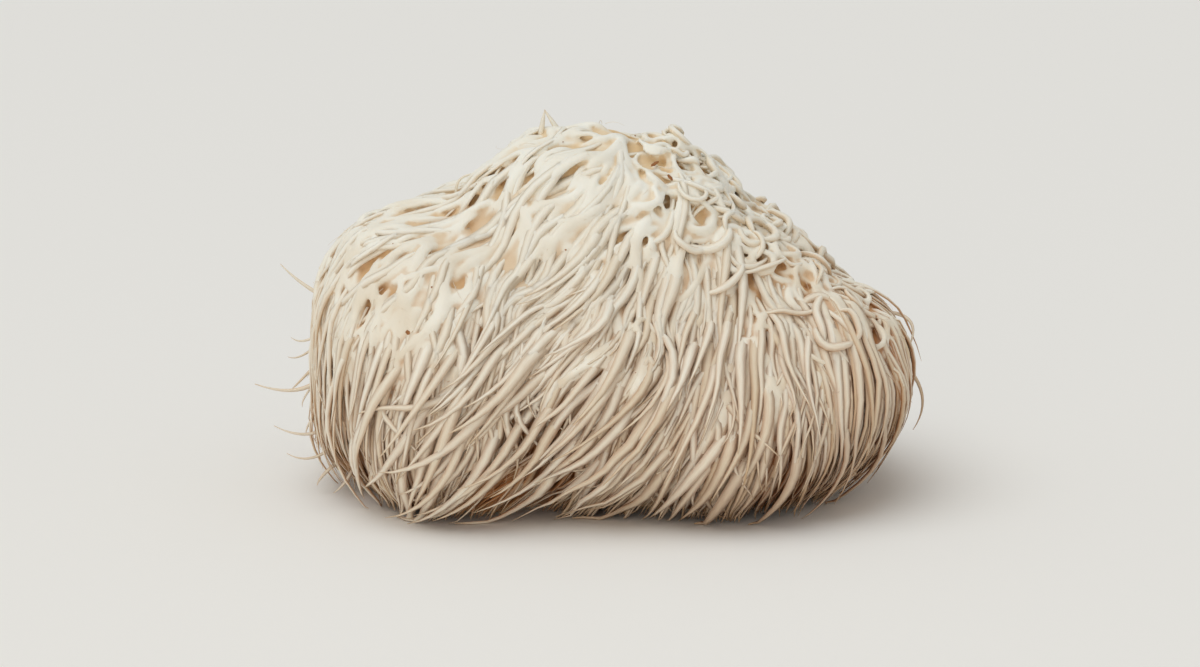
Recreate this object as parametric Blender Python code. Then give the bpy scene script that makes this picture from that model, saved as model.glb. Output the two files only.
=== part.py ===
"""Lion's mane mushroom: one fruiting body, cut off flat where it grew on its log.

The solid is the outer shape of the whole mushroom, out to the tips of its hanging spines.
Units are metres, +Z is up, and the origin is the middle of the flat cut that it rests on.
"""

import math

import bmesh
import bpy
import numpy as np
from mathutils import Vector, noise

MM = 0.001

# Driving dimensions of the fruiting body.
HEART = np.array((0.0, 0.0, 30.0)) * MM  # the point inside it that every ray to its skin starts from
REACH = 110 * MM  # further from the heart than any of its skin
LOBE_FIRMNESS = 5.0  # how far a lobe keeps its own outline where it grows into its neighbours

# The lobes that the fruiting body swelled into: centre, then half of the width, depth and height, in mm.
LOBES = {
    "main_mass": ((0, 5, 26), (57, 42, 46)),
    "peak": ((-5, 1, 50), (40, 28, 33)),
    "left_shoulder": ((-40, -5, 35), (28, 36, 29)),
    "left_hem": ((-45, 3, 17), (25, 34, 20)),
    "right_shoulder": ((42, -5, 24), (27, 33, 23)),
    "right_slope": ((18, 3, 44), (26, 29, 22)),
    "front_left": ((-35, -21, 21), (25, 28, 24)),
    "front_middle": ((-3, -22, 26), (31, 26, 24)),
    "front_right": ((26, -23, 19), (27, 27, 21)),
    "back_left": ((-32, 18, 29), (33, 31, 30)),
    "back_right": ((22, 22, 25), (38, 30, 30)),
}

# The mesh: meridians round the body and rings from crown to base.
MERIDIANS = 96
RINGS = 46

# The hanging spines gather in locks, with a groove between each lock and the next.
GIRTH_RADIUS = 56 * MM  # from the upright axis out to the locks, all round
LOCK_WIDTH = 2 * math.pi * GIRTH_RADIUS / 32
LOCK_GROOVE = 1.8 * MM
LOCK_LEAN = 0.35  # how far a lock drifts sideways for each unit that it hangs down
# The curled spines of the crown stand in knots.
KNOT_WIDTH = 9 * MM
KNOT_HEIGHT = 3.2 * MM
CROWN_EDGE = 0.45  # the skin's upward slope where the knots give way to the locks
CROWN_BLEND = 0.25


def clear_scene():
    for obj in list(bpy.data.objects):
        bpy.data.objects.remove(obj, do_unlink=True)


def flesh_field(points):
    """Above 1 inside the soft union of the lobes, and below 1 outside it."""
    field = np.zeros(len(points))
    for centre, half in LOBES.values():
        scaled = (points - np.array(centre) * MM) / (np.array(half) * MM)
        field += np.exp(LOBE_FIRMNESS * (1 - (scaled**2).sum(axis=1)))
    return field


def skin_distance(rays):
    """How far the skin lies from the heart along each unit ray."""
    steps = 80
    inside = np.zeros(len(rays))
    for step in range(1, steps + 1):
        distance = REACH * step / steps
        held = flesh_field(HEART + rays * distance) > 1
        inside[held] = distance
    outside = inside + REACH / steps
    for _ in range(20):
        middle = (inside + outside) / 2
        held = flesh_field(HEART + rays * middle[:, None]) > 1
        inside = np.where(held, middle, inside)
        outside = np.where(held, outside, middle)
    return inside


def lock_relief(place):
    """The groove between two locks, 0 on a lock's back and -LOCK_GROOVE at its edge."""
    round_body = math.atan2(place.y, place.x) * GIRTH_RADIUS
    drift = LOCK_LEAN * (place.z - HEART[2])
    wander = noise.noise(place / (30 * MM)) * LOCK_WIDTH
    phase = (round_body + drift + wander) / LOCK_WIDTH
    return -LOCK_GROOVE * (1 - abs(math.sin(math.pi * phase)))


def knot_relief(place):
    """The knots of curled spines on the crown, as soft bumps."""
    return KNOT_HEIGHT * (noise.noise(place / KNOT_WIDTH) - 0.35)


def skin_relief(place, slope):
    """Knots where the skin faces up, locks where it is steep, and a smooth change between them."""
    crown = min(max((slope - CROWN_EDGE) / CROWN_BLEND + 0.5, 0.0), 1.0)
    return crown * knot_relief(place) + (1 - crown) * lock_relief(place)


def swell_sphere(mesh):
    """Moves each point of a unit sphere out to the mushroom's skin, then adds the skin's relief."""
    rays = np.array([vert.co.normalized() for vert in mesh.verts])
    skin = HEART + rays * skin_distance(rays)[:, None]
    for vert, place in zip(mesh.verts, skin):
        vert.co = place
    mesh.normal_update()
    slopes = [vert.normal.z for vert in mesh.verts]
    for vert, ray, slope in zip(mesh.verts, rays, slopes):
        vert.co += Vector(ray) * skin_relief(vert.co, slope)


def cut_flat(mesh):
    """Cuts the body off level, where it was sliced from the log, and closes the cut."""
    everything = mesh.verts[:] + mesh.edges[:] + mesh.faces[:]
    cut = bmesh.ops.bisect_plane(
        mesh, geom=everything, dist=1e-6, plane_co=(0, 0, 0), plane_no=(0, 0, -1), clear_outer=True
    )
    rim = [item for item in cut["geom_cut"] if isinstance(item, bmesh.types.BMEdge)]
    bmesh.ops.contextual_create(mesh, geom=rim)


def centre_on_origin(mesh):
    """Slides the body level, until the middle of its outer box is over the origin."""
    places = np.array([vert.co for vert in mesh.verts])
    middle = (places.min(axis=0) + places.max(axis=0)) / 2
    bmesh.ops.translate(mesh, verts=mesh.verts[:], vec=(-middle[0], -middle[1], 0.0))


def fruiting_body():
    mesh = bmesh.new()
    bmesh.ops.create_uvsphere(mesh, u_segments=MERIDIANS, v_segments=RINGS, radius=1.0)
    swell_sphere(mesh)
    cut_flat(mesh)
    centre_on_origin(mesh)
    bmesh.ops.recalc_face_normals(mesh, faces=mesh.faces[:])
    data = bpy.data.meshes.new("fruiting_body")
    mesh.to_mesh(data)
    mesh.free()
    data.shade_smooth()
    data.set_sharp_from_angle(angle=math.radians(60))
    return bpy.data.objects.new("fruiting_body", data)


def cream_flesh():
    material = bpy.data.materials.new("cream_flesh")
    material.use_nodes = True
    shader = material.node_tree.nodes["Principled BSDF"]
    shader.inputs["Base Color"].default_value = (0.80, 0.73, 0.60, 1.0)
    shader.inputs["Roughness"].default_value = 0.6
    shader.inputs["Metallic"].default_value = 0.0
    return material


def main():
    clear_scene()
    mushroom = bpy.data.collections.new("lions_mane_mushroom")
    bpy.context.scene.collection.children.link(mushroom)
    body = fruiting_body()
    body.data.materials.append(cream_flesh())
    mushroom.objects.link(body)


main()
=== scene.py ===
"""Lion's mane mushroom: the looks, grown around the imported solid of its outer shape."""

import math

import bmesh
import bpy
import numpy as np
from mathutils import Matrix, Vector
from mathutils.bvhtree import BVHTree


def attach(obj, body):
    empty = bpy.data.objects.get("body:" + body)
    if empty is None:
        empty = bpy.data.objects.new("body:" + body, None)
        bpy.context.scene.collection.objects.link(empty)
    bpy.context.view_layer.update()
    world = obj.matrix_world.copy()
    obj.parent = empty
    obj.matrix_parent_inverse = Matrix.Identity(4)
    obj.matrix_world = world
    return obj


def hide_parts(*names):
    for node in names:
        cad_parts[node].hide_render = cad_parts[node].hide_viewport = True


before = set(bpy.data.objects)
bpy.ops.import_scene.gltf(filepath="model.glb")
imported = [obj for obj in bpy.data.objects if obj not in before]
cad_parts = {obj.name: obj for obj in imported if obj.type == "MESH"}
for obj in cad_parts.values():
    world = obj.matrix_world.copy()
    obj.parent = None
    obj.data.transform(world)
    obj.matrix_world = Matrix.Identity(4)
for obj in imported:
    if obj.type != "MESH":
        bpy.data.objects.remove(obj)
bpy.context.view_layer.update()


# ---- The skirt of spines ----
# Below the crown the spines hang free: soft, tapered, 2 to 3 mm thick and up to 50 mm long, like wet
# tassels. The front ones sweep to the left as they fall, the side ones hang straight, and locks of
# them part over darker ones beneath. They start in the mass and end at the outer shape's skin.

MM = 0.001
TAU = 2 * math.pi
# The outer shape is measured as how far its skin lies from the heart of the body, in every direction.
HEART = np.array((0.0, 0.0, 30.0)) * MM
BEARINGS = 240  # directions measured all round
TILTS = 121  # directions measured from straight up to straight down
FURTHEST = 150 * MM
NEAR_FLOOR = 0.8 * MM  # lower than this the skin goes straight down, as the cut ends it
# Soft places that have swollen or sunk a little from the shape: where, how wide and how much, in mm.
SWELLS = [
    ((-52, -4, 56), 17, 4.0), ((-19, -2, 82), 10, 1.6), ((42, -20, 52), 9, 3.2), ((16, -38, 45), 9, -2.8),
    ((58, -8, 41), 11, 3.0), ((-20, -40, 40), 11, 1.8), ((-48, 24, 50), 10, 2.0), ((8, 34, 60), 12, 2.0),
    ((-6, 42, 40), 9, -2.4), ((40, 36, 46), 10, 2.4), ((-66, 4, 34), 8, -1.6), ((-34, 0, 74), 10, -3.4),
    ((-30, -22, 65), 8, -1.8), ((32, 0, 69), 10, -2.8), ((69, -4, 11), 13, -4.2), ((4, -1, 83), 8, 1.9),
]


def unit(vectors):
    return vectors / np.maximum(np.linalg.norm(vectors, axis=-1, keepdims=True), 1e-12)


def all_round(margin):
    """Rays in every direction, and their tilts, down to a small margin from both poles."""
    bearing, tilt = np.meshgrid(
        np.arange(BEARINGS) / BEARINGS * TAU, np.linspace(margin, math.pi - margin, TILTS)
    )
    return np.stack([np.sin(tilt) * np.cos(bearing), np.sin(tilt) * np.sin(bearing), np.cos(tilt)], -1), tilt


def soften(table, rounds):
    """Evens out a table of all directions, with its left edge joined to its right."""
    for _ in range(rounds):
        table = (np.roll(table, 1, axis=1) + 2 * table + np.roll(table, -1, axis=1)) / 4
        tall = np.concatenate([table[:1], table, table[-1:]])
        table = (tall[:-2] + 2 * tall[1:-1] + tall[2:]) / 4
        table[0] = table[0].mean(axis=0)
        table[-1] = table[-1].mean(axis=0)
    return table


class Skin:
    """The outer shape, as a distance from the heart and an outward direction for any ray."""

    def __init__(self, body):
        rays, tilt = all_round(0)
        tree = BVHTree.FromPolygons(
            [vert.co for vert in body.data.vertices], [face.vertices for face in body.data.polygons]
        )
        reach = np.array([[tree.ray_cast(HEART, ray)[3] for ray in row] for row in rays])
        heights = HEART[2] + rays[..., 2] * reach
        girth = np.sin(tilt) * reach
        for row in range(1, TILTS):
            under = heights[row] < NEAR_FLOOR
            girth[row] = np.where(under, girth[row - 1], girth[row])
            wall = girth[row] / max(math.sin(tilt[row, 0]), 1e-3)
            reach[row] = np.where(under, np.minimum(wall, FURTHEST), reach[row])
        reach = soften(reach, 3)
        places = HEART + rays * reach[..., None]
        for place, size, height in SWELLS:
            gaps = np.linalg.norm(places - np.array(place) * MM, axis=-1)
            reach = reach + height * MM * np.exp(-((gaps / (size * MM)) ** 2))
        self.distances = reach
        places = HEART + rays * self.distances[..., None]
        round_body = np.roll(places, -1, axis=1) - np.roll(places, 1, axis=1)
        down_body = np.gradient(places, axis=0)
        outward = unit(np.cross(down_body, round_body))
        outward[0] = (0, 0, 1)
        outward[-1] = (0, 0, -1)
        self.directions = unit(soften(outward, 2))

    def read(self, table, rays):
        """The table's value along each ray, blended from the four directions round it."""
        across = np.arctan2(rays[..., 1], rays[..., 0]) % TAU / TAU * BEARINGS
        along = np.arccos(np.clip(rays[..., 2], -1, 1)) / math.pi * (TILTS - 1)
        left = np.floor(across).astype(int)
        top = np.minimum(np.floor(along).astype(int), TILTS - 2)
        u = across - left
        v = along - top
        if table.ndim == 3:
            u = u[..., None]
            v = v[..., None]
        left = left % BEARINGS
        right = (left + 1) % BEARINGS
        upper = table[top, left] * (1 - u) + table[top, right] * u
        lower = table[top + 1, left] * (1 - u) + table[top + 1, right] * u
        return upper * (1 - v) + lower * v

    def place(self, rays):
        return HEART + rays * self.read(self.distances, rays)[..., None]

    def outward(self, rays):
        return unit(self.read(self.directions, rays))

    def depth(self, places):
        """How far each place lies inside the skin."""
        rays = places - HEART
        return self.read(self.distances, unit(rays)) - np.linalg.norm(rays, axis=-1)


skin = Skin(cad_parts["fruiting_body"])


# Spines and curls grow alike: each takes root somewhere on the mass, creeps over it downhill, and turns
# aside as its neighbours do.
ROOT_TRIES = 26000


def drift(places, size, seed):
    """A smooth chance value, mostly between -1 and 1, that changes over about this size."""
    chance = np.random.default_rng(seed)
    waves = unit(chance.normal(size=(9, 3))) * chance.uniform(0.6, 1.3, (9, 1)) * TAU / (2 * size)
    return np.sin(places @ waves.T + chance.uniform(0, TAU, 9)).sum(axis=-1) / 3


def rise(values, start, end):
    """0 before the start, 1 after the end, and an even change between them."""
    step = np.clip((values - start) / (end - start), 0, 1)
    return step * step * (3 - 2 * step)


def scatter(spacing_at, seed):
    """Rays to places all over the skin, none closer to another than spacing_at(places, outward) asks."""
    chance = np.random.default_rng(seed)
    rays = unit(chance.normal(size=(ROOT_TRIES, 3)))
    places = skin.place(rays)
    spacing = spacing_at(places, skin.outward(rays))
    chosen = []
    taken = np.full((ROOT_TRIES, 3), 9.0)
    for i in np.flatnonzero(np.isfinite(spacing)):
        count = len(chosen)
        gaps = ((taken[:count] - places[i]) ** 2).sum(axis=1)
        if count == 0 or gaps.min() > spacing[i] ** 2:
            taken[count] = places[i]
            chosen.append(i)
    return rays[chosen]


def creep(roots, lengths, turn, steps, pull=(0, 0, -1)):
    """Leads each strand over the skin along pull, turned by the angle that turn(places, along) asks for.

    Returns the places and the outward directions along each strand."""
    rays = roots
    places = []
    outwards = []
    for along in np.linspace(0, 1, steps):
        place = skin.place(rays)
        outward = skin.outward(rays)
        places.append(place)
        outwards.append(outward)
        downhill = unit(pull - outward * (outward * pull).sum(axis=1, keepdims=True))
        leftward = np.cross(downhill, outward)
        angle = turn(place, along)[:, None]
        heading = downhill * np.cos(angle) + leftward * np.sin(angle)
        rays = unit(place + heading * (lengths / (steps - 1))[:, None] - HEART)
    return np.stack(places, 1), np.stack(outwards, 1)


class Strands:
    """Closed tapering tubes along the given places, side by side in one mesh."""

    def __init__(self, places, outwards, widths, flatness, tints, sides):
        count, steps = widths.shape
        ahead = unit(np.gradient(places, axis=1))
        across = unit(np.cross(ahead, outwards))
        upward = np.cross(across, ahead)
        angles = np.arange(sides) / sides * TAU + TAU / 4
        wide = widths[:, :, None, None] / 2 * np.cos(angles)[:, None]
        flatness = np.broadcast_to(flatness, count)[:, None, None, None]
        thick = widths[:, :, None, None] / 2 * np.sin(angles)[:, None] * flatness
        points = places[:, :, None] + across[:, :, None] * wide + upward[:, :, None] * thick
        self.points = points.reshape(-1, 3)
        self.points[:, 2] = np.maximum(self.points[:, 2], 0.0)
        first = (np.arange(count) * steps * sides)[:, None, None]
        ring = first + (np.arange(steps - 1) * sides)[None, :, None]
        here = np.arange(sides)[None, None, :]
        after = (here + 1) % sides
        quads = [ring + here, ring + after, ring + sides + after, ring + sides + here]
        self.quads = np.stack(quads, -1).reshape(-1, 4)
        root_caps = first[:, :, 0] + np.arange(sides)[::-1]
        tip_caps = first[:, :, 0] + (steps - 1) * sides + np.arange(sides)
        self.caps = np.concatenate([root_caps, tip_caps])
        self.size = (count, steps, sides)
        self.tints = tints
        # Skin turned outwards is a ridge, and skin turned inwards is a hollow, where the finish paints shade
        # in tan.
        self.hollows = np.tile(-0.42 * np.sin(angles), count * steps)
        # Where each point lies in the grain: its place in the cross-section, and a tenth of its length.
        lengths = np.linalg.norm(np.diff(places, axis=1), axis=-1).cumsum(axis=1)
        lengths = np.concatenate([np.zeros((count, 1)), lengths], axis=1)[:, :, None] / 10
        own = np.arange(count)[:, None, None] * 7.3 * MM
        rings = np.broadcast_arrays(wide[..., 0] * 1.0, thick[..., 0] * 2.0 + own, lengths + own)
        self.grain = np.stack(rings, -1).reshape(-1, 3) / MM

    def mesh(self, name):
        count, steps, sides = self.size
        mesh = bpy.data.meshes.new(name)
        mesh.from_pydata(self.points.tolist(), [], self.quads.tolist() + self.caps.tolist())
        mesh.shade_smooth()
        keep(mesh, "along", np.tile(np.repeat(np.linspace(0, 1, steps), sides), count))
        keep(mesh, "tint", np.repeat(self.tints, steps * sides))
        keep(mesh, "depth", skin.depth(self.points) / MM)
        keep(mesh, "hollow", self.hollows)
        mesh.attributes.new("grain", "FLOAT_VECTOR", "POINT").data.foreach_set(
            "vector", self.grain.reshape(-1).astype(np.float32)
        )
        lay_strips(mesh, count, steps, sides)
        return mesh


def keep(mesh, name, values):
    """Stores one number at each point of a mesh, for its finish to read."""
    mesh.attributes.new(name, "FLOAT", "POINT").data.foreach_set("value", values.astype(np.float32))


def lay_strips(mesh, count, steps, sides):
    """Lays every tube in an upright strip of its own, and each cap in a corner of its strip."""
    columns = math.ceil(math.sqrt(count * 5.0))
    rows = math.ceil(count / columns)
    column = np.arange(count) % columns
    row = np.arange(count) // columns
    corner = np.stack([column / columns, row / rows], -1)
    size = np.array((1 / columns, 1 / rows))
    across = np.arange(sides) / sides
    along = np.arange(steps - 1) / (steps - 1)
    step = np.array(((0, 0), (1, 0), (1, 1), (0, 1))) / (sides, steps - 1)
    grid = np.stack(np.broadcast_arrays(across[None, :], along[:, None]), -1)
    inside = 0.08 + 0.80 * (grid[:, :, None] + step)
    sheet = corner[:, None, None, None] + inside[None] * size
    turns = np.arange(sides) / sides * TAU
    disc = 0.94 + 0.03 * np.stack([np.cos(turns), np.sin(turns)], -1)
    caps = corner[:, None] + disc[None] * size
    places = np.concatenate([sheet.reshape(-1, 2), caps.reshape(-1, 2), caps.reshape(-1, 2)])
    layer = mesh.uv_layers.new(name="OFBake")
    layer.data.foreach_set("uv", places.reshape(-1).astype(np.float32))


SPINE_SEED = 11
SPINE_STEPS = 14
SPINE_SIDES = 5
LOWEST_TIP = 0.4 * MM  # the tips end just above the ground
# How far spines lean to the left as they fall, in degrees, by their bearing round the body.
SWEEPS = {
    -180: 2, -155: 4, -138: 8, -122: 24, -105: 36, -85: 36, -70: 27, -58: 19, -45: 12, -30: 6, -10: 0,
    20: -4, 50: -16, 80: -26, 110: -20, 135: -6, 160: 0, 180: 2,
}
# How much further they lean by their tips, in degrees.
CURLS = {-180: 0, -140: 2, -118: 22, -80: 24, -60: 12, -30: -2, 0: -6, 60: -14, 100: -12, 180: 0}


def by_bearing(table, places):
    """A value from a table of bearings, in degrees, read at each place."""
    bearings = np.degrees(np.arctan2(places[:, 1], places[:, 0]))
    return np.interp(bearings, list(table), list(table.values()))


def crown_level(places, outward):
    """0 at the edge of the crown, more on it, and less on the skirt below."""
    edge = 0.76 + 0.07 * drift(places, 14 * MM, 5)  # the crown ends about where the skin turns upright
    return outward[..., 2] + (places[..., 2] - 46 * MM) / (60 * MM) - edge


def crown_share(places, outward):
    """1 on the crown, where curls grow, and 0 on the skirt, where spines hang."""
    return rise(crown_level(places, outward), -0.13, 0.13)


def spine_spacing(places, outward):
    """Close rows along the skirt's upper edge, fewer roots lower down, and none on the crown."""
    crown = crown_share(places, outward)
    low = rise(0.5 - crown, 0.35, 0.5)
    spacing = (1.25 + 0.5 * low) * MM
    spacing[(crown > 0.95) | (places[:, 2] < 9 * MM)] = np.inf
    return spacing


roots = scatter(spine_spacing, SPINE_SEED)
chance = np.random.default_rng(SPINE_SEED)
root_places = skin.place(roots)
spine_count = len(roots)
root_level = crown_level(root_places, skin.outward(roots))
upper = rise(root_level, -0.55, -0.1) > chance.uniform(0.02, 1, spine_count)

# Each spine belongs to the lock whose middle is nearest to its root, and leans as that lock does.
LOCK_WIDTH = 8 * MM
LOCK_GATHER = 0.30  # how far the tips in a lock are drawn to its middle
locks = scatter(lambda places, outward: np.where(places[:, 2] > 3 * MM, LOCK_WIDTH, np.inf), SPINE_SEED + 1)
lock_places = skin.place(locks)
lock_gaps = ((root_places[:, None] - lock_places[None]) ** 2).sum(-1)
lock_of = lock_gaps.argmin(1)
lock_gap = np.sqrt(lock_gaps.min(1))
lock_lean = chance.normal(0, 4, len(locks))
lock_curl = chance.normal(0, 8, len(locks))
own_lean = chance.normal(0, 2.2, spine_count)
own_curl = chance.normal(0, 6, spine_count)
wave_phase = chance.uniform(0, TAU, spine_count)
wave_pace = chance.uniform(4, 9, spine_count)
tier = np.where(upper, 1.0, 0.7)
sweep = by_bearing(SWEEPS, root_places) * tier
curl = by_bearing(CURLS, root_places) * tier


def spine_turn(places, along):
    lean = sweep + lock_lean[lock_of] + own_lean + 6 * drift(places, 22 * MM, 21)
    bend = (curl + lock_curl[lock_of] + own_curl) * along**2.5
    wave = 2.5 * np.sin(wave_phase + wave_pace * along)
    return np.radians(lean * min(1.0, 0.5 + along) + bend + wave)


free = upper & (chance.uniform(0, 1, spine_count) < 0.15)  # these lie on top, and end halfway down
lengths = np.where(upper, chance.uniform(32, 64, spine_count), chance.uniform(24, 48, spine_count)) * MM
lengths[free] *= 0.72
curl += free * np.sign(curl + 4) * chance.uniform(4, 24, spine_count)
floor_gap = (0.4 + 2.6 * chance.beta(1, 4, spine_count)) * MM
floor_gap += 0.8 * MM * (drift(lock_places[lock_of], 12 * MM, 31)).clip(0, 2)
for _ in range(3):
    places, outwards = creep(roots, lengths, spine_turn, SPINE_STEPS)
    under = places[:, :, 2] < floor_gap[:, None]
    reached = np.where(under.any(1), under.argmax(1), SPINE_STEPS - 1) / (SPINE_STEPS - 1)
    lengths = lengths * np.where(under.any(1), np.maximum(reached, 0.1), 1)
grown = lengths > 9 * MM

along = np.linspace(0, 1, SPINE_STEPS)[None]
ROOT_DEPTH = 4.2 * MM
layer = np.where(upper, chance.uniform(0.1, 1.5, spine_count), chance.uniform(0.7, 2.2, spine_count)) * MM
layer += 0.7 * MM * np.minimum(lock_gap / (LOCK_WIDTH / 2), 1.4) ** 2
layer -= (chance.normal(0, 0.65, len(locks))[lock_of] + 0.9 * drift(root_places, 14 * MM, 35)) * MM
layer[free] = chance.uniform(-1.2, 0.3, free.sum()) * MM
flare = np.where(chance.uniform(0, 1, spine_count) < 0.10, chance.uniform(1, 4, spine_count), 0.4) * MM
layer = layer[:, None] * (1 - 0.25 * along) - flare[:, None] * along**3
surfacing = np.where(free, 0.40, chance.uniform(0.20, 0.38, spine_count))[:, None]
surfacing *= 1 - 0.5 * rise(root_places[:, :1], 20 * MM, 45 * MM)
depth = layer + (ROOT_DEPTH - layer) * (1 - rise(along / surfacing, -0.35, 1.0))
lock_mean = np.zeros((len(locks), SPINE_STEPS, 3))
lock_size = np.zeros(len(locks))
np.add.at(lock_mean, lock_of, places)
np.add.at(lock_size, lock_of, 1)
lock_mean /= np.maximum(lock_size, 1)[:, None, None]
together = LOCK_GATHER * along[..., None] ** 1.6
places = places + (lock_mean[lock_of] - places) * together
places = places - outwards * depth[..., None]
places[..., 2] = np.maximum(places[..., 2], LOWEST_TIP)
thickness = (1.4 + 2.0 * chance.beta(1.6, 2.4, spine_count) + 0.45 * upper)[:, None] * MM
widths = thickness * (0.45 + 0.55 * rise(along, 0, 0.4)) * (1 - 0.93 * along**2.0)
widths = widths * (1 + 0.07 * np.sin(wave_phase[:, None] + 9 * along))
tints = chance.uniform(0, 1, spine_count)


class Value:
    """A shader value. Sums, differences and products of values add Math nodes."""

    def __init__(self, finish, socket):
        self.finish = finish
        self.socket = socket

    def __add__(self, other):
        return self.finish.node("Math", {"operation": "ADD"}, {0: self, 1: other})

    def __mul__(self, other):
        return self.finish.node("Math", {"operation": "MULTIPLY"}, {0: self, 1: other})

    def __sub__(self, other):
        return self.finish.node("Math", {"operation": "SUBTRACT"}, {0: self, 1: other})

    def __rsub__(self, other):
        return self.finish.node("Math", {"operation": "SUBTRACT"}, {0: other, 1: self})

    __radd__ = __add__
    __rmul__ = __mul__


class Finish:
    """One material and the nodes that make it."""

    def __init__(self, name):
        self.material = bpy.data.materials.new(name)
        self.material.use_nodes = True
        self.nodes = self.material.node_tree.nodes
        self.shader = self.nodes["Principled BSDF"]

    def node(self, kind, settings=None, sockets=None, output=0):
        node = self.nodes.new("ShaderNode" + kind)
        for name, setting in (settings or {}).items():
            setattr(node, name, setting)
        for socket, value in (sockets or {}).items():
            self.feed(node.inputs[socket], value)
        return Value(self, node.outputs[output])

    def feed(self, socket, value):
        if isinstance(value, Value):
            self.material.node_tree.links.new(value.socket, socket)
        else:
            socket.default_value = value

    def set(self, **sockets):
        for name, value in sockets.items():
            self.feed(self.shader.inputs[name.replace("_", " ")], value)

    def attribute(self, name):
        return self.node("Attribute", {"attribute_name": name}, output="Fac")

    def noise(self, scale, detail=2.0, roughness=0.5):
        where = self.node("TexCoord", output="Object")
        sockets = {"Vector": where, "Scale": scale, "Detail": detail, "Roughness": roughness}
        return self.node("TexNoise", {}, sockets)

    def place(self, axis):
        """Where a point lies along one axis, in millimetres from the middle of the cut."""
        where = self.node("TexCoord", output="Object")
        return self.node("SeparateXYZ", {}, {0: where}, output=axis) * 1000.0

    def rise(self, value, start, end):
        settings = {"interpolation_type": "SMOOTHSTEP"}
        return self.node("MapRange", settings, {0: value, 1: start, 2: end, 3: 0.0, 4: 1.0})

    def mix(self, share, first, second):
        return self.node("Mix", {"data_type": "RGBA"}, {0: share, 6: first, 7: second}, output=2)


def colour(red, green, blue):
    """A colour given in the 0 to 255 of a paint chart, as the linear light that shaders take."""
    parts = [part / 255 for part in (red, green, blue)]
    light = [((part + 0.055) / 1.055) ** 2.4 if part > 10 / 255 else part / 12.92 for part in parts]
    return (*light, 1.0)


def flesh_finish(name, streaked):
    """White flesh, tan where it lies deep, in hollows and on the undersides of strands, which is painted
    shade, and browner towards the base and the right end, partly its own browning and partly painted shade:
    darkest between the spines near the base.
    """
    finish = Finish(name)
    depth = finish.attribute("depth")
    tint = finish.attribute("tint")
    along = finish.attribute("along")
    patches = finish.noise(70.0, 3.0)
    height = finish.place(2)
    # In millimetres of height: the flesh is painted browner from the base up, and higher at the right end;
    # partly its own browning, partly painted shade on the lower and right parts, away from the light.
    age_and_shade = height - finish.place(0) * (0.42 - height * 0.007) + (patches - 0.5) * 16.0
    low = 1 - finish.rise(age_and_shade, 12.0, 84.0)
    bottom = 1 - finish.rise(age_and_shade, -12.0, 16.0)
    # Painted shade: flesh lying deeper under the skin, between and beneath the spines, is mixed towards tan;
    # a little of it is the flesh's own yellowing in the deep.
    shade = finish.rise(depth + (patches - 0.5) * 1.6, 0.2, 2.6) * (low * 0.35 + 0.5)
    # Painted shade: the hollows of the crown and the inward-turned undersides of the strands are mixed
    # towards tan.
    shade = shade + finish.rise(finish.attribute("hollow"), -0.42, 0.06) * (low * 0.35 + 0.5)
    pale = finish.mix(tint, colour(244, 243, 234), colour(241, 237, 224))
    aged_and_shaded = finish.mix(tint, colour(243, 235, 218), colour(219, 198, 166))
    body = finish.mix(low, pale, aged_and_shaded)
    # Near the base the flesh, and the tan between the spines, go dark brown: partly bruised flesh, partly
    # painted shade low down between the spines and by the floor.
    body = finish.mix(bottom * 0.6, body, colour(172, 130, 92))
    tan = finish.mix(low, colour(230, 202, 158), colour(178, 118, 67))
    tan = finish.mix(bottom, tan, colour(112, 64, 32))
    body = finish.mix(shade, body, tan)
    tip = finish.rise(along, 0.88, 1.0) * 0.45
    body = finish.mix(tip, body, colour(206, 168, 118))
    pores = finish.rise(finish.noise(520.0, 2.0), 0.58, 0.66) * 0.45
    cut_face = finish.mix(pores, colour(239, 228, 204), colour(196, 152, 102))
    body = finish.mix(finish.attribute("cut"), body, cut_face)
    grain = finish.noise(1400.0, 3.0, 0.6)
    if streaked:
        where = finish.node("Attribute", {"attribute_name": "grain"}, output="Vector")
        streaks = finish.node("TexNoise", {}, {"Vector": where, "Scale": 2.6, "Detail": 3.0})
        body = finish.mix((streaks - 0.45) * 0.55, body, tan)
        grain = grain * 0.4 + streaks
    normal = finish.node("Bump", {}, {"Strength": 0.35, "Distance": 0.0002, "Height": grain})
    finish.set(Base_Color=body, Roughness=0.62 + grain * 0.12, Normal=normal)
    finish.set(Subsurface_Weight=0.2, Subsurface_Radius=(1.0, 0.9, 0.8), Subsurface_Scale=0.5 * MM)
    finish.set(IOR=1.38)
    return finish.material


def show(mesh, material):
    piece = bpy.data.objects.new(mesh.name, mesh)
    bpy.context.scene.collection.objects.link(piece)
    mesh.materials.append(material)
    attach(piece, "root")
    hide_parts("fruiting_body")


spine_material = flesh_finish("spine_flesh", True)
bearing = np.degrees(np.arctan2(root_places[:, 1], root_places[:, 0]))
for number, start in enumerate(range(-180, 180, 90)):
    pick = grown & (bearing >= start) & (bearing < start + 90)
    spines = Strands(places[pick], outwards[pick], widths[pick], 0.40, tints[pick], SPINE_SIDES)
    show(spines.mesh(f"spines_{number + 1}"), spine_material)


# ---- The crown ----
# On top the spines are short and have grown together: pale curls that run downhill, lie over one
# another and melt into the mass. On the right they stay apart, as rings and arches over deep holes.

CURL_SEED = 41
CURL_STEPS = 18
CURLS_END = -0.3  # the crown level down to which curls take root
GRAIN = 0.45 * MM  # the smallest hollow that stays open between grown-together curls
FLESH_FACES = 170000


def tangle_share(places):
    """1 where the curls stand apart as rings and arches, 0 where they melt together."""
    return rise(places[..., 0] + 6 * MM * drift(places, 12 * MM, 61), 4 * MM, 27 * MM)


def curl_spacing(places, outward):
    spacing = (2.4 - 0.3 * tangle_share(places)) * MM
    return np.where(crown_level(places, outward) > CURLS_END, spacing, np.inf)


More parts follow.
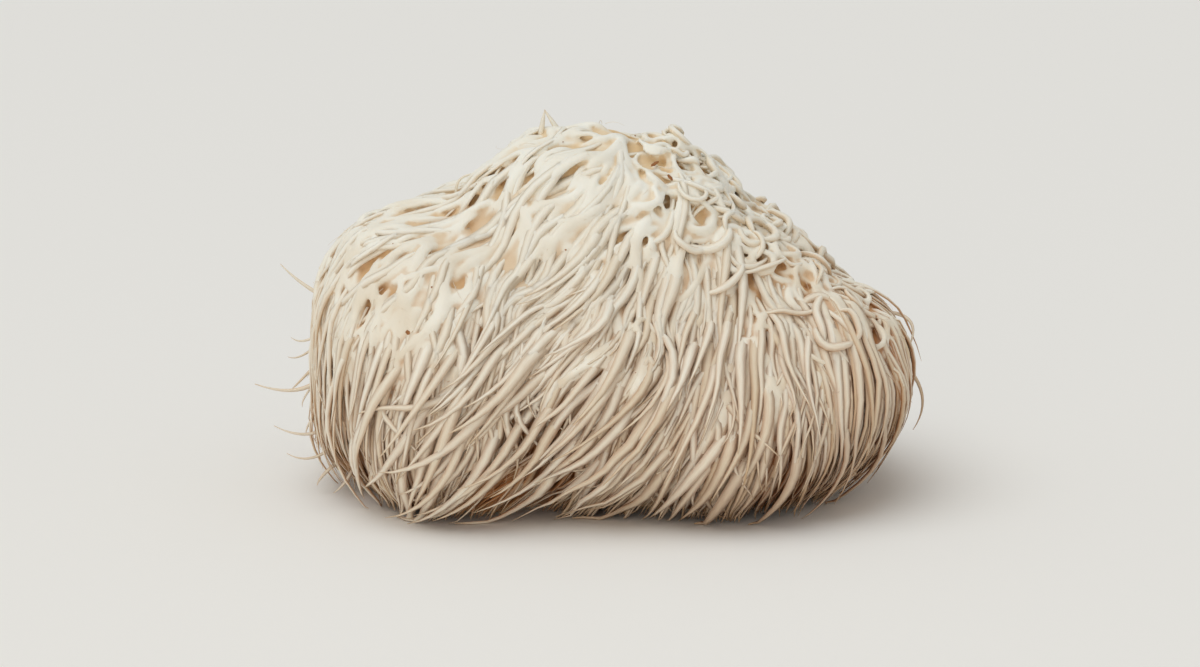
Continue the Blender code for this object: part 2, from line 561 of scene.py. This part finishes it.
curl_roots = scatter(curl_spacing, CURL_SEED)
chance = np.random.default_rng(CURL_SEED)
curl_count = len(curl_roots)
curl_places = skin.place(curl_roots)
curl_outward = skin.outward(curl_roots)
curl_share = crown_share(curl_places, curl_outward)
tangled = (tangle_share(curl_places) > chance.uniform(0.1, 0.9, curl_count)) & (curl_share > 0.4)
curl_heading = 0.9 * by_bearing(SWEEPS, curl_places) + 26 * curl_share * drift(curl_places, 22 * MM, 51)
astray = chance.uniform(0, 1, curl_count) < 0.08 * curl_share
curl_heading += chance.normal(0, 1, curl_count) * np.where(tangled, 60, np.where(astray, 40, 10))
ring_rate = chance.choice((-1, 1), curl_count) * chance.uniform(110, 330, curl_count)
curl_rate = np.where(tangled, ring_rate, chance.normal(0, 24, curl_count))
curl_lengths = np.where(tangled, chance.uniform(11, 22, curl_count), chance.uniform(16, 36, curl_count)) * MM
curl_wave = chance.uniform(0, TAU, curl_count)


def curl_turn(places, along):
    wave = 12 * np.sin(curl_wave + 7 * along)
    return np.radians(curl_heading + curl_rate * along + 12 * drift(places, 9 * MM, 52) + wave)


curl_pull = np.where(curl_share[:, None] < 0.3, (0, 0, -1), (-0.45, -0.25, -1))
curl_path, curl_outwards = creep(curl_roots, curl_lengths, curl_turn, CURL_STEPS, curl_pull)
s = np.linspace(0, 1, CURL_STEPS)[None]
arch = chance.uniform(2.0, 4.3, curl_count)[:, None] * np.sin(math.pi * s) ** 0.6 - 1.4
sheet = chance.uniform(1.9, 3.3, curl_count)[:, None] * rise(s, -0.05, 0.3) * (1 - rise(s, 0.6, 1.05)) - 1.2
dip = 3.4 * (1 - rise(curl_share, 0.1, 0.6))[:, None] * rise(s, 0.2, 0.8)  # low ones dive under the skirt
curl_depth = (1.7 - np.where(tangled[:, None], arch, sheet) + dip) * MM
curl_path = curl_path - curl_outwards * curl_depth[..., None]
curl_width = np.where(tangled, chance.uniform(1.2, 2.1, curl_count), chance.uniform(1.5, 3.0, curl_count))
curl_width = curl_width[:, None] * MM * (0.4 + 0.6 * np.sin(math.pi * s) ** 0.5)
curls = Strands(curl_path, curl_outwards, curl_width, 0.62, chance.uniform(0, 1, curl_count), 8)


def core_shape():
    """The mass itself: the outer shape drawn in by the depth of the curls or of the spines."""
    rays, _ = all_round(0.02)
    surface = skin.place(rays)
    crown = crown_share(surface, skin.outward(rays))
    # Behind the skirt the mass lies deeper towards the base and the right end, less deep at the left end.
    under = rise(-surface[..., 2], -46 * MM, -12 * MM)
    left = rise(-surface[..., 0], 10 * MM, 45 * MM) * rise(-surface[..., 2], -44 * MM, -28 * MM)
    right = rise(surface[..., 0], 4 * MM, 24 * MM) * rise(-surface[..., 2], -46 * MM, -26 * MM)
    skirt = 2.2 + 1.6 * under - 0.9 * left + 0.9 * right
    inset = skirt + (1.9 + 0.4 * tangle_share(surface) - skirt) * crown
    lumps = 0.55 * drift(surface, 4 * MM, 71) * crown
    inset += 8 * rise(-surface[..., 2], -12 * MM, 0)
    points = surface - rays * ((inset + lumps) * MM)[..., None]
    drop = (HEART[2] - 0.3 * MM) / np.maximum(HEART[2] - points[..., 2], 1 * MM)
    points = HEART + (points - HEART) * np.minimum(drop, 1)[..., None]
    rows, columns = np.meshgrid(np.arange(TILTS - 1) * BEARINGS, np.arange(BEARINGS), indexing="ij")
    after = (columns + 1) % BEARINGS
    quads = [rows + columns, rows + BEARINGS + columns, rows + BEARINGS + after, rows + after]
    caps = [list(range(BEARINGS)), [(TILTS - 1) * BEARINGS + i for i in reversed(range(BEARINGS))]]
    return points.reshape(-1, 3), np.stack(quads, -1).reshape(-1, 4).tolist() + caps


STUB_STEPS = 6  # the part of each spine that has grown together with the mass
stub_swell = np.interp(np.arange(STUB_STEPS), (0, STUB_STEPS - 1), (1.15, 0.5))
stubs = Strands(
    places[grown, :STUB_STEPS], outwards[grown, :STUB_STEPS], widths[grown, :STUB_STEPS] * stub_swell, 0.62,
    tints[grown], 8,
)
core_points, core_faces = core_shape()
points = [core_points]
faces = core_faces
start = len(core_points)
for strands in (curls, stubs):
    points.append(strands.points)
    faces = faces + (strands.quads + start).tolist() + (strands.caps + start).tolist()
    start += len(strands.points)
seed_mesh = bpy.data.meshes.new("flesh")
seed_mesh.from_pydata(np.concatenate(points).tolist(), [], faces)
flesh = bpy.data.objects.new("flesh", seed_mesh)
bpy.context.scene.collection.objects.link(flesh)
remesh = flesh.modifiers.new("grow_together", "REMESH")
remesh.mode = "VOXEL"
remesh.voxel_size = GRAIN
soft = flesh.modifiers.new("soften", "SMOOTH")
soft.factor = 0.5
soft.iterations = 2
bpy.context.view_layer.update()
dense_faces = len(flesh.evaluated_get(bpy.context.evaluated_depsgraph_get()).data.polygons)
thin = flesh.modifiers.new("thin_out", "DECIMATE")
thin.ratio = min(1.0, FLESH_FACES / dense_faces)
bpy.context.view_layer.update()
flesh_mesh = bpy.data.meshes.new_from_object(flesh.evaluated_get(bpy.context.evaluated_depsgraph_get()))
bpy.data.objects.remove(flesh)
flesh_mesh.calc_loop_triangles()


def numbers(items, field, width, kind=float):
    values = np.zeros(len(items) * width, dtype=kind)
    items.foreach_get(field, values)
    return values.reshape(-1, width)


flesh_points = numbers(flesh_mesh.vertices, "co", 3)
flesh_normals = numbers(flesh_mesh.vertices, "normal", 3)
flesh_points[:, 2] = np.maximum(flesh_points[:, 2], 0.0)
flesh_triangles = numbers(flesh_mesh.loop_triangles, "vertices", 3, np.int32)
middles = flesh_points[flesh_triangles].mean(axis=1)
side = np.degrees(np.arctan2(middles[:, 1], middles[:, 0]))
flesh_edges = numbers(flesh_mesh.edges, "vertices", 2, np.int32)


def hollow_depth(points, normals, edges, rounds):
    """How far each point lies below the evened-out surface round it; a ridge is below zero."""
    even = points
    links = np.bincount(edges.reshape(-1), minlength=len(points))[:, None]
    for _ in range(rounds):
        sums = np.zeros_like(even)
        for axis in range(3):
            sums[:, axis] = np.bincount(edges[:, 0], even[edges[:, 1], axis], len(points))
            sums[:, axis] += np.bincount(edges[:, 1], even[edges[:, 0], axis], len(points))
        even = (even + sums / np.maximum(links, 1)) / 2
    return ((even - points) * normals).sum(axis=1)


# How deep each crown hollow lies, for the finish's painted shade.
hollows = hollow_depth(flesh_points, flesh_normals, flesh_edges, 30)
crown_material = flesh_finish("crown_flesh", False)
for number, start in enumerate((-180, -60, 60)):
    mine = flesh_triangles[(side >= start) & (side < start + 120)]
    used, corners = np.unique(mine, return_inverse=True)
    mesh = bpy.data.meshes.new(f"flesh_{number + 1}")
    mesh.from_pydata(flesh_points[used].tolist(), [], corners.reshape(-1, 3).tolist())
    mesh.shade_smooth()
    mesh.normals_split_custom_set_from_vertices(flesh_normals[used].tolist())
    keep(mesh, "depth", skin.depth(flesh_points[used]) / MM)
    keep(mesh, "tint", 0.5 + 0.4 * drift(flesh_points[used], 5 * MM, 81))
    keep(mesh, "along", np.zeros(len(used)))
    keep(mesh, "hollow", hollows[used] / MM - 0.27)
    downwards = rise(-flesh_normals[used, 2], 0.4, 0.8) * rise(-flesh_points[used, 2], -1.2 * MM, -0.6 * MM)
    keep(mesh, "cut", downwards * rise(skin.depth(flesh_points[used]), 3 * MM, 6 * MM))
    show(mesh, crown_material)


# ---- Loose strands ----
# Over the grown-together crown lie long flat strands that never quite joined it, and over the front
# of the skirt some thick ones whose pointed tips curl up and stand away like commas.

LOOSE_STEPS = 13
LOOSE_END = -0.2  # the crown level down to which loose strands take root


def loose_spacing(places, outward):
    """Close at the crown's edge, where they hang over the skirt, and few on top."""
    share = crown_share(places, outward)
    spacing = (2.2 + 3.0 * rise(share, 0.4, 0.95) * (1 - 0.5 * tangle_share(places))) * MM
    return np.where(crown_level(places, outward) > LOOSE_END, spacing, np.inf)


def comma_spacing(places, outward):
    """Close together in the middle of the front, and here and there round the skirt's shoulder."""
    shoulder = (np.abs(outward[:, 2] - 0.3) < 0.3) & (places[:, 2] > 24 * MM) & (places[:, 2] < 56 * MM)
    front = (places[:, 1] < -20 * MM) & (np.abs(places[:, 0] + 2 * MM) < 34 * MM)
    return np.where(shoulder, np.where(front, 5.0, 9.5) * MM, np.inf)


loose_roots = scatter(loose_spacing, 91)
comma_roots = scatter(comma_spacing, 92)
chance = np.random.default_rng(93)
loose_count = len(loose_roots)
comma_count = len(comma_roots)
loose_places = skin.place(loose_roots)
loose_share = crown_share(loose_places, skin.outward(loose_roots))
looped = (tangle_share(loose_places) > chance.uniform(0.1, 0.9, loose_count)) & (loose_share > 0.55)
hanging = ~looped & (loose_share < chance.uniform(0.5, 1.0, loose_count))  # their tips fall over the skirt
loose_heading = 0.9 * by_bearing(SWEEPS, loose_places) + 24 * loose_share * drift(loose_places, 24 * MM, 51)
loose_heading += chance.normal(0, 1, loose_count) * np.where(looped, 70, np.where(hanging, 6, 11))
loose_rate = np.where(looped, chance.choice((-1, 1), loose_count) * chance.uniform(80, 300, loose_count), 0)
loose_rate = loose_rate + chance.normal(0, 22, loose_count)
loose_lengths = np.where(looped, chance.uniform(9, 20, loose_count), chance.uniform(22, 44, loose_count)) * MM
loose_lengths[hanging] = chance.uniform(26, 50, hanging.sum()) * MM
loose_wave = chance.uniform(0, TAU, loose_count)


def loose_turn(places, along):
    wave = 10 * np.sin(loose_wave + 8 * along)
    return np.radians(loose_heading + loose_rate * along + 12 * drift(places, 9 * MM, 52) + wave)


loose_pull = np.where(hanging[:, None], (0, 0, -1), (-0.45, -0.25, -1))
loose_path, loose_outwards = creep(loose_roots, loose_lengths, loose_turn, LOOSE_STEPS, loose_pull)
s = np.linspace(0, 1, LOOSE_STEPS)[None]
flesh_tree = BVHTree.FromPolygons(flesh_points.tolist(), flesh_triangles.tolist())


def flesh_depths(places, outwards):
    """How far below the skin the grown-together surface lies at each place."""
    starts = (places + outwards * 8 * MM).reshape(-1, 3)
    inward = -outwards.reshape(-1, 3)
    gaps = [flesh_tree.ray_cast(start, way)[3] or 8 * MM for start, way in zip(starts, inward)]
    return np.array(gaps).reshape(places.shape[:2]) - 8 * MM


def ease(rows, rounds):
    """Evens out each row of numbers along its length."""
    for _ in range(rounds):
        wide = np.concatenate([rows[:, :1], rows, rows[:, -1:]], axis=1)
        rows = (wide[:, :-2] + 2 * wide[:, 1:-1] + wide[:, 2:]) / 4
    return rows


surface_depth = flesh_depths(loose_path, loose_outwards)
surface_depth = ease(np.minimum(surface_depth, ease(surface_depth, 3)), 2)
middle_lift = np.where(looped, chance.uniform(-0.5, 1.4, loose_count), chance.uniform(-0.5, 0.1, loose_count))
tip = np.where(hanging[:, None], 0, rise(s, 0.66, 1.02))
ends = rise(s, -0.02, 0.30) * (1 - tip)
middle_lift = middle_lift[:, None] * ends - 1.1 * (1 - ends)
loose_depth = surface_depth - middle_lift * MM
over_skirt = chance.uniform(-0.6, 0.9, loose_count)[:, None]
over_skirt = over_skirt - chance.uniform(0, 1.2, loose_count)[:, None] * s**3
over_skirt = np.minimum(loose_depth, over_skirt * MM)
hanging_depth = loose_depth + (over_skirt - loose_depth) * rise(s, 0.1, 0.5)
loose_depth = np.where(hanging[:, None], hanging_depth, loose_depth)
loose_path = loose_path - loose_outwards * loose_depth[..., None]
loose_path[..., 2] = np.maximum(loose_path[..., 2], 0.5 * MM)
loose_width = np.where(looped, chance.uniform(1.2, 2.5, loose_count), chance.uniform(1.6, 3.1, loose_count))
spindle = 1 - 0.85 * np.abs(2 * s - 1) ** 2
pointed = (0.4 + 0.6 * rise(s, 0, 0.35)) * (1 - 0.93 * s**2.0)
loose_width = loose_width[:, None] * np.where(hanging[:, None], pointed, spindle) * MM

comma_places = skin.place(comma_roots)
comma_sweep = by_bearing(SWEEPS, comma_places) + chance.normal(0, 5, comma_count)
comma_curl = by_bearing(CURLS, comma_places) * 1.8 + chance.normal(0, 12, comma_count)
comma_lengths = chance.uniform(26, 46, comma_count) * MM


def comma_turn(places, along):
    return np.radians(comma_sweep + 6 * drift(places, 22 * MM, 21) + comma_curl * along**2)


comma_path, comma_outwards = creep(comma_roots, comma_lengths, comma_turn, LOOSE_STEPS)
front = rise(-comma_places[:, 1], 18 * MM, 34 * MM)[:, None]
comma_layer = chance.uniform(-1.8, -0.2, comma_count)[:, None] - 0.5 * front
comma_flare = chance.uniform(0.3, 3.0, comma_count)[:, None] * s**3
comma_depth = (comma_layer + (3.5 - comma_layer) * (1 - rise(s, -0.05, 0.5)) - comma_flare) * MM
comma_path = comma_path - comma_outwards * comma_depth[..., None]
comma_width = (chance.uniform(1.5, 2.8, comma_count)[:, None] + 0.7 * front) * MM
comma_width = comma_width * (0.5 + 0.5 * rise(s, 0, 0.35)) * (1 - 0.94 * s**2.0)
comma_path[..., 2] = np.maximum(comma_path[..., 2], LOWEST_TIP)
comma_tints = chance.uniform(0, 0.6, comma_count)
commas = Strands(comma_path, comma_outwards, comma_width, 0.45, comma_tints, SPINE_SIDES)
show(commas.mesh("commas"), spine_material)
left = loose_places[:, 0] < 0
for name, pick in (("crown_strands_left", left), ("crown_strands_right", ~left)):
    loose = Strands(
        loose_path[pick], loose_outwards[pick], loose_width[pick], np.where(looped[pick], 0.8, 0.42),
        chance.uniform(0, 0.6, pick.sum()), SPINE_SIDES,
    )
    show(loose.mesh(name), spine_material)


# ---- Fuzz and wisps ----
# Fine hairs stand out all over, and a few long ones at the left end, where the mushroom brushed
# against its neighbours, hang quite free of the rest.

FUZZ_STEPS = 6
FUZZ_APART = 5.2 * MM
fuzz_roots = scatter(lambda places, outward: np.where(places[:, 2] > 5 * MM, FUZZ_APART, np.inf), 101)
chance = np.random.default_rng(102)
fuzz_count = len(fuzz_roots)
fuzz_lengths = chance.uniform(2, 7, fuzz_count) * MM
fuzz_heading = by_bearing(SWEEPS, skin.place(fuzz_roots)) + chance.normal(0, 22, fuzz_count)
fuzz_rate = chance.normal(0, 50, fuzz_count)
fuzz_path, fuzz_outwards = creep(
    fuzz_roots, fuzz_lengths, lambda places, along: np.radians(fuzz_heading + fuzz_rate * along), FUZZ_STEPS
)
s = np.linspace(0, 1, FUZZ_STEPS)[None]
fuzz_arch = chance.uniform(0.2, 1.7, fuzz_count)[:, None]
fuzz_lift = fuzz_arch * np.sin(s * chance.uniform(1.6, 3.1, fuzz_count)[:, None])
fuzz_path = fuzz_path + fuzz_outwards * (fuzz_lift * MM - 0.8 * MM * (1 - s))[..., None]
fuzz_path[..., 2] = np.maximum(fuzz_path[..., 2], LOWEST_TIP)
fuzz_width = chance.uniform(0.13, 0.3, fuzz_count)[:, None] * (1 - 0.8 * s) * MM
# Each wisp runs from its root past a middle place to its tip, and is this thick at the root.
WISPS = [
    ((-62, -6, 43), (-69, -7, 47), (-75, -6, 52), 1.1), ((-63, -8, 30), (-70, -10, 24), (-81, -10, 25), 1.3),
    ((-66, -4, 36), (-70, -5, 34), (-73, -6, 35), 0.7), ((-67, -3, 33), (-71, -3, 30), (-74, -4, 30), 0.6),
    ((-67, -6, 29), (-71, -7, 25), (-73, -7, 23), 0.7), ((-66, -2, 26), (-70, -3, 21), (-71, -3, 18), 0.6),
    ((-64, -8, 15), (-70, -9, 13), (-77, -9, 15), 0.9), ((-62, -10, 12), (-68, -11, 8), (-74, -11, 9), 0.8),
    ((-60, -12, 9), (-65, -13, 5), (-67, -13, 2), 1.0), ((-65, -5, 19), (-69, -5, 15), (-70, -6, 12), 0.8),
    ((-58, -14, 8), (-60, -16, 4), (-63, -16, 1), 1.0), ((66, -8, 30), (71, -8, 22), (69, -9, 14), 0.9),
    ((-35, -2, 66), (-34, -2, 71), (-28, -2, 72), 0.7),
    ((-16.2, 0, 79), (-15.6, 0, 83), (-15.0, 0, 86.2), 1.5),
    ((-10.6, 0, 79), (-12.6, 0, 82.6), (-15.1, 0, 86.4), 1.7),
    ((64, -2, 40), (69, -3, 37), (67, -4, 30), 0.9),
]
ends = np.array([wisp[:3] for wisp in WISPS], dtype=float) * MM
share = np.linspace(0, 1, LOOSE_STEPS)[None, :, None]
bend = 2 * ends[:, 1:2] - (ends[:, 0:1] + ends[:, 2:3]) / 2
wisp_path = ends[:, 0:1] * (1 - share) ** 2 + 2 * bend * share * (1 - share) + ends[:, 2:3] * share**2
wisp_outwards = np.broadcast_to(np.array((0.0, -1.0, 0.0)), wisp_path.shape)
wisp_width = np.array([wisp[3] for wisp in WISPS])[:, None] * (1 - 0.85 * share[..., 0] ** 2) * MM
fuzz = Strands(fuzz_path, fuzz_outwards, fuzz_width, 0.8, chance.uniform(0, 1, fuzz_count), 3)
show(fuzz.mesh("fuzz"), spine_material)
wisps = Strands(wisp_path, wisp_outwards, wisp_width, 0.8, chance.uniform(0, 1, len(WISPS)), SPINE_SIDES)
show(wisps.mesh("wisps"), spine_material)


# ---- Flecks of bark ----
# Crumbs of brown bark from the log have caught between the strands: most are specks, a few are
# splinters as long as a grain of rice.

# Where each crumb lies, and how long, wide and thick it is.
SPLINTERS = [
    ((10.5, -14, 80), 2.6, 1.0), ((14.2, -16, 77), 2.0, 0.9), ((-7, -34, 60), 2.2, 0.6),
    ((-40, -36, 42), 1.8, 1.2), ((-37, -38, 40), 1.4, 0.8), ((-60, -14, 46), 1.1, 0.7),
    ((-24, -32, 58), 1.0, 0.5), ((46, -34, 30), 0.9, 0.8), ((25, -40, 34), 0.8, 0.7),
    ((-52, -28, 14), 1.2, 0.9), ((30, 24, 60), 2.0, 0.8), ((-30, 34, 50), 1.6, 0.9),
]
bmesh_crumbs = bmesh.new()
chance = np.random.default_rng(111)
SPECKS_APART = 15 * MM
speck_rays = scatter(lambda places, outward: np.where(places[:, 2] > 8 * MM, SPECKS_APART, np.inf), 112)
crumbs = [(np.array(place) * MM - HEART, length, width) for place, length, width in SPLINTERS]
speck_sizes = chance.uniform(0.25, 0.6, len(speck_rays))
crumbs += [(ray, size, size * 0.8) for ray, size in zip(speck_rays, speck_sizes)]
for ray, length, width in crumbs:
    ray = unit(ray[None])
    place = skin.place(ray)[0]
    outward = Vector(skin.outward(ray)[0])
    turn = outward.to_track_quat("Z", "Y").to_matrix() @ Matrix.Rotation(chance.uniform(0, TAU), 3, "Z")
    made = bmesh.ops.create_icosphere(bmesh_crumbs, subdivisions=1, radius=0.5)
    for vert in made["verts"]:
        ragged = 1 + chance.uniform(-0.28, 0.28)
        size = Vector((length * ragged, width, width * 0.5)) * MM
        spot = Vector((vert.co.x * size.x, vert.co.y * size.y, vert.co.z * size.z))
        vert.co = turn @ spot + Vector(place) + outward * (0.15 * MM)
crumb_mesh = bpy.data.meshes.new("bark_flecks")
bmesh_crumbs.to_mesh(crumb_mesh)
bmesh_crumbs.free()
bark = Finish("brown_bark")
bark_tone = bark.mix(bark.noise(1100.0, 3.0), colour(96, 52, 22), colour(190, 128, 70))
bark_grain = bark.noise(3200.0, 3.0)
bark_normal = bark.node("Bump", {}, {"Strength": 0.5, "Distance": 0.0002, "Height": bark_grain})
bark.set(Base_Color=bark_tone, Roughness=0.75, Normal=bark_normal)
show(crumb_mesh, bark.material)


# ---- The studio ----
# A plain pale paper floor, one broad cool light high above and a little to the left in front, and a
# weak warm fill low in front. A long lens on a stand looks slightly down on the body.

floor = bpy.data.meshes.new("floor")
floor.from_pydata([(-3, -3, 0), (3, -3, 0), (3, 3, 0), (-3, 3, 0)], [], [(0, 1, 2, 3)])
floor_piece = bpy.data.objects.new("floor", floor)
bpy.context.scene.collection.objects.link(floor_piece)
paper = Finish("pale_paper")
paper.set(Base_Color=colour(246, 244, 240), Roughness=0.9)
floor.materials.append(paper.material)


def area_light(name, place, size, power, tone):
    light = bpy.data.lights.new(name, "AREA")
    light.shape = "DISK"
    light.size = size
    light.energy = power
    light.color = tone
    lamp = bpy.data.objects.new(name, light)
    lamp.location = place
    lamp.rotation_euler = (Vector((0, 0, 0.04)) - Vector(place)).to_track_quat("-Z", "Y").to_euler()
    bpy.context.scene.collection.objects.link(lamp)


sun = bpy.data.lights.new("key", "SUN")
sun.energy = 1.2
sun.color = (0.91, 0.965, 1.0)
sun.angle = math.radians(60)
lamp = bpy.data.objects.new("key", sun)
lamp.rotation_euler = Vector((0.3, 0.16, -1.0)).to_track_quat("-Z", "Y").to_euler()
bpy.context.scene.collection.objects.link(lamp)
area_light("fill", (-0.25, -1.0, 0.08), 0.6, 2.4, (1.0, 0.89, 0.76))
world = bpy.data.worlds.new("studio")
world.use_nodes = True
world.node_tree.nodes["Background"].inputs["Color"].default_value = (1.0, 0.97, 0.925, 1.0)
world.node_tree.nodes["Background"].inputs["Strength"].default_value = 0.48
bpy.context.scene.world = world
bpy.context.scene.view_settings.view_transform = "Standard"

camera = bpy.data.cameras.new("camera")
camera.lens = 90
camera.sensor_width = 36
camera.clip_start = 0.01
eye = bpy.data.objects.new("camera", camera)
LOOK_AT = Vector((-2.5, 0, 34.6)) * MM
LENS_AWAY = 0.69
LOOKING_DOWN = math.radians(12)
stand = Vector((0, -math.cos(LOOKING_DOWN), math.sin(LOOKING_DOWN)))
eye.location = LOOK_AT + stand * LENS_AWAY
eye.rotation_euler = (LOOK_AT - eye.location).to_track_quat("-Z", "Y").to_euler()
bpy.context.scene.collection.objects.link(eye)
bpy.context.scene.camera = eye
